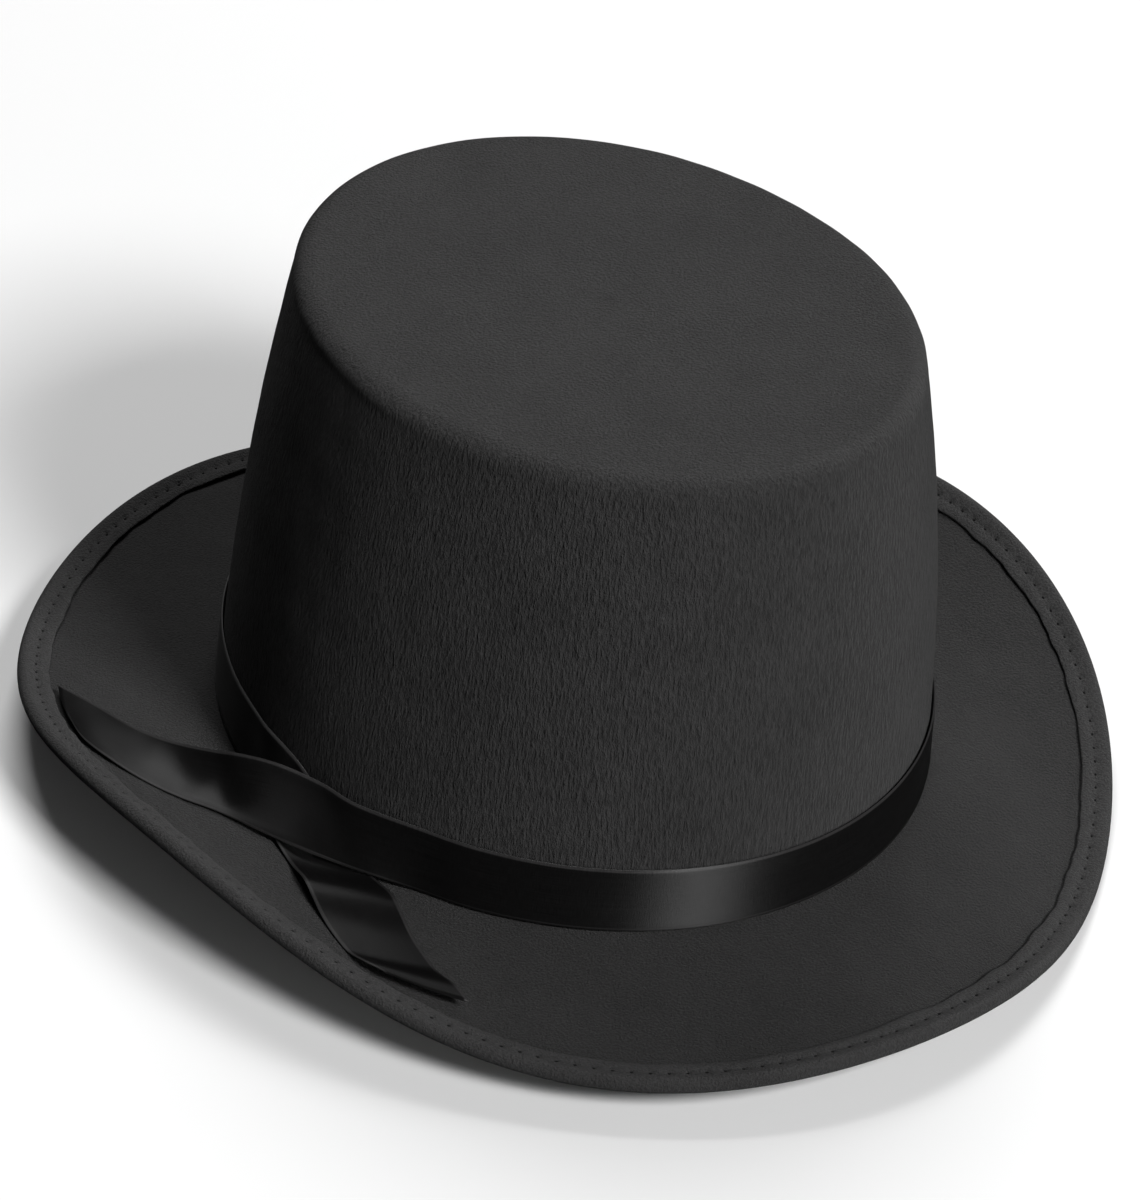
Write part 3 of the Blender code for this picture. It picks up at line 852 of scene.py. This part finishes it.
def cap_ribbon(made, rows, columns):
    """Closes both cut ends with faces between the ribbon's two sides."""
    mesh = bmesh.new()
    mesh.from_mesh(made.data)
    mesh.verts.ensure_lookup_table()
    for first in (0, (rows - 1) * columns):
        half = columns // 2
        for i in range(half - 1):
            j = columns - 1 - i
            mesh.faces.new([mesh.verts[first + k] for k in (i, i + 1, j - 1, j)])
    bmesh.ops.recalc_face_normals(mesh, faces=mesh.faces)
    mesh.to_mesh(made.data)
    mesh.free()
    made.data.shade_smooth()


# ---- inside the head opening ----
def tape_grid(angle, levels, inset):
    """Rows of points round the wall, one for each height."""
    return np.stack([wall_point(angle, z, inset) for z in levels])


def make_sweatband(cloth):
    """A woven tape inside the crown's foot, flat at its seam and a little wavy above it."""
    angle = np.linspace(0, 2 * math.pi, INNER_COLUMNS, endpoint=False)
    inset = CROWN_FELT + BRIM_FELT + 2 * GAP
    levels = np.linspace(-BRIM_FELT / 2, -BRIM_FELT / 2 + SWEATBAND_HEIGHT, 20)
    face = tape_grid(angle, levels, inset)
    back = face.copy()
    loose = np.clip((levels - SEWN_TO) / SEWN_FADE, 0, 1)[:, None]
    wave = SWEATBAND_WAVE * loose * (1 + ripple(face, 25, 41))
    nx, ny = outward(angle)
    for grid, depth in ((face, SWEATBAND_THICKNESS), (back, 0.0)):
        grid[..., 0] -= nx * (wave + depth)
        grid[..., 1] -= ny * (wave + depth)
    loop = np.concatenate([back, face[::-1]])
    made = grid_object("sweatband_tape", loop, wrap_rows=True, wrap_columns=True)
    run = angle * (BASE_X + BASE_Y) / 2
    texture = np.zeros_like(loop)
    texture[..., 0] = run[None, :]
    texture[..., 1] = np.concatenate([levels, levels[::-1]])[:, None]
    add_texture_grid(made, texture)
    flip_if_inside_out(made)
    finish_piece(made, cloth, "sweatband", "sweatband")
    return made


def make_sweatband_stitches(thread):
    """One row of stitches round the foot of the sweatband."""
    inset = CROWN_FELT + BRIM_FELT + SWEATBAND_THICKNESS + 2 * GAP
    around = 2 * math.pi * ((BASE_X + BASE_Y) / 2 - inset)
    count = round(around / STITCH_PITCH)
    angle = np.arange(count) / count * 2 * math.pi
    nx, ny = outward(angle)
    point = wall_point(angle, SWEATBAND_SEAM, inset)
    normal = np.stack([-nx, -ny, np.zeros_like(nx)], axis=-1)
    direction = np.stack([-ny, nx, np.zeros_like(nx)], axis=-1)
    batch = stitch_mesh(point, normal, direction, STITCH_LENGTH, STITCH_RADIUS)
    made = thread_object("sweatband_stitches", [batch])
    return finish_piece(made, thread, "thread", "sweatband_thread")


def make_lining(cloth):
    """A thin satin bag that hangs just inside the felt, with soft folds down its side."""
    angle = np.linspace(0, 2 * math.pi, INNER_COLUMNS, endpoint=False)
    nx, ny = outward(angle)
    inset = CROWN_FELT + GAP + LINING_SLACK
    edge_radius, bottom = VISUAL_EDGE_RADIUS + 0.001, COLLAR_HEIGHT + 0.0015
    rings = crown_rings(inset, edge_radius, bottom, *LINING_RINGS)
    upright = np.array([1, 1, 0.25])  # draws the folds out up the wall
    grids = []
    for depth in (0.0, LINING):
        grid = ring_grid(rings, angle)
        z = grid[..., 2]
        above = np.clip((z - FOLD_BOTTOM) / FOLD_FADE, 0, 1)
        share = above * np.clip((HEIGHT - z) / FOLD_FADE, 0, 1)
        fold = LINING_FOLD * share * np.maximum(0.0, 1 + ripple(grid * upright, 30, 51))
        top = grid[..., 2] > HEIGHT - VISUAL_EDGE_RADIUS - 0.0005
        pull = np.where(top, depth * 0.3, depth) + fold
        grid[..., 0] -= nx * pull
        grid[..., 1] -= ny * pull
        grid[..., 2] -= np.where(top, depth + LINING_TOP_DROP, 0.0)
        grids.append(grid)
    loop = np.concatenate([grids[0][::-1], grids[1]])
    made = grid_object("lining", loop, wrap_columns=True)
    texture = np.zeros_like(loop)
    texture[..., 0] = angle[None, :] * LINING_CLOTH_RADIUS
    texture[..., 1] = loop[..., 2]
    add_texture_grid(made, texture)
    close_ends(made, len(loop), len(angle))
    finish_piece(made, cloth, "lining", "crown_lining")
    return made


def make_label(cloth):
    """A blank label on the sweatband."""
    inset = CROWN_FELT + BRIM_FELT + SWEATBAND_THICKNESS + 3 * GAP + LABEL_STANDOFF
    turns = np.radians(np.linspace(LABEL_FROM, LABEL_TO, 25))
    levels = np.linspace(LABEL_BOTTOM, LABEL_TOP, 13)
    middle = np.stack([wall_point(turn, levels, inset) for turn in turns])
    width = LABEL_TOP - LABEL_BOTTOM
    made, _ = ribbon_solid("label", middle, GAP, width)
    finish_piece(made, cloth, "label", "size_label")
    return made


# ---- stage, lights and camera ----
CAMERA_AZIMUTH, CAMERA_ELEVATION, CAMERA_ROLL = -44.0, 36.5, 5.4
CAMERA_DISTANCE = 1.4218
LENS = 155.4
SHIFT_X, SHIFT_Y = -0.0013, 0.0877
CLIP_START = 0.05
FLOOR_GAP = 0.0002
FLOOR_SIZE = 40
FLOOR_SHADE = 0.82
WORLD_STRENGTH = 0.02
# Degrees round from the camera, elevation, distance, size and power
LIGHTS = {
    "key": (40, 42, 4.0, 1.0, 158),
    "fill": (33, 6, 4.0, 2.0, 52),
    "back": (190, 56, 3.5, 1.8, 88),
}


def toward(azimuth, elevation):
    """The direction from the hat to a place at an azimuth and an elevation in degrees."""
    a, e = math.radians(azimuth), math.radians(elevation)
    return Vector((math.sin(a) * math.cos(e), -math.cos(a) * math.cos(e), math.sin(e)))


def make_camera():
    """Looks down at the hat from behind and from its left, with a slight roll."""
    back = toward(CAMERA_AZIMUTH, CAMERA_ELEVATION)
    right = (-back).cross(Vector((0, 0, 1))).normalized()
    up = right.cross(-back)
    roll = math.radians(CAMERA_ROLL)
    side = right * math.cos(roll) + up * math.sin(roll)
    top = -right * math.sin(roll) + up * math.cos(roll)
    data = bpy.data.cameras.new("camera")
    data.lens = LENS
    data.shift_x, data.shift_y = SHIFT_X, SHIFT_Y
    data.clip_start = CLIP_START
    camera = bpy.data.objects.new("camera", data)
    turn = Matrix((side, top, back)).transposed().to_4x4()
    camera.matrix_world = Matrix.Translation(back * CAMERA_DISTANCE) @ turn
    bpy.context.scene.collection.objects.link(camera)
    bpy.context.scene.camera = camera


def make_light(name, azimuth, elevation, distance, size, power):
    """A square soft light that faces the hat."""
    data = bpy.data.lights.new(name, "AREA")
    data.size = size
    data.energy = power
    light = bpy.data.objects.new(name, data)
    place = toward(azimuth, elevation) * distance
    turn = place.to_track_quat("Z", "Y").to_matrix().to_4x4()
    light.matrix_world = Matrix.Translation(place) @ turn
    bpy.context.scene.collection.objects.link(light)


def make_stage():
    """A plain pale floor just under the hat, a dim world and soft studio lights."""
    low = cad_box[0][2] - FLOOR_GAP
    bpy.ops.mesh.primitive_plane_add(size=FLOOR_SIZE, location=(0, 0, low))
    floor = bpy.context.object
    floor.name = "floor"
    shade = (FLOOR_SHADE, FLOOR_SHADE, FLOOR_SHADE, 1.0)
    made, _, _ = new_material("floor", Base_Color=shade, Roughness=0.9)
    floor.data.materials.append(made)
    # The floor throws no light back onto the hat
    floor.visible_diffuse = False
    floor.visible_glossy = False
    world = bpy.data.worlds.new("studio")
    world.use_nodes = True
    background = world.node_tree.nodes["Background"]
    background.inputs["Color"].default_value = (1.0, 1.0, 1.0, 1.0)
    background.inputs["Strength"].default_value = WORLD_STRENGTH
    bpy.context.scene.world = world
    for name, (azimuth, *rest) in LIGHTS.items():
        make_light(name, CAMERA_AZIMUTH + azimuth, *rest)
    bpy.context.scene.view_settings.view_transform = "Standard"


def main():
    make_camera()
    crown_felt = felt_material("felt_crown", (1300, 1300, 260), 0.0022)
    brim_felt = felt_material("felt_brim", (1500, 1500, 1500), 0.0013)
    satin = satin_material("satin")
    thread = thread_material("thread")
    make_crown(crown_felt)
    angle = seam_angles()
    make_brim(brim_felt, angle)
    make_hem_stitches(thread, angle)
    make_band(satin)
    make_lining(woven_material("lining", 0.020, 0.050, 0.0004, 0.4))
    make_sweatband(woven_material("sweatband", 0.012, 0.032, 0.0009, 0.7))
    make_sweatband_stitches(thread)
    make_label(woven_material("label", 0.45, 0.60, 0.0005, 0.7))
    make_wire(wire_material("wire"), angle)
    make_stage()


main()
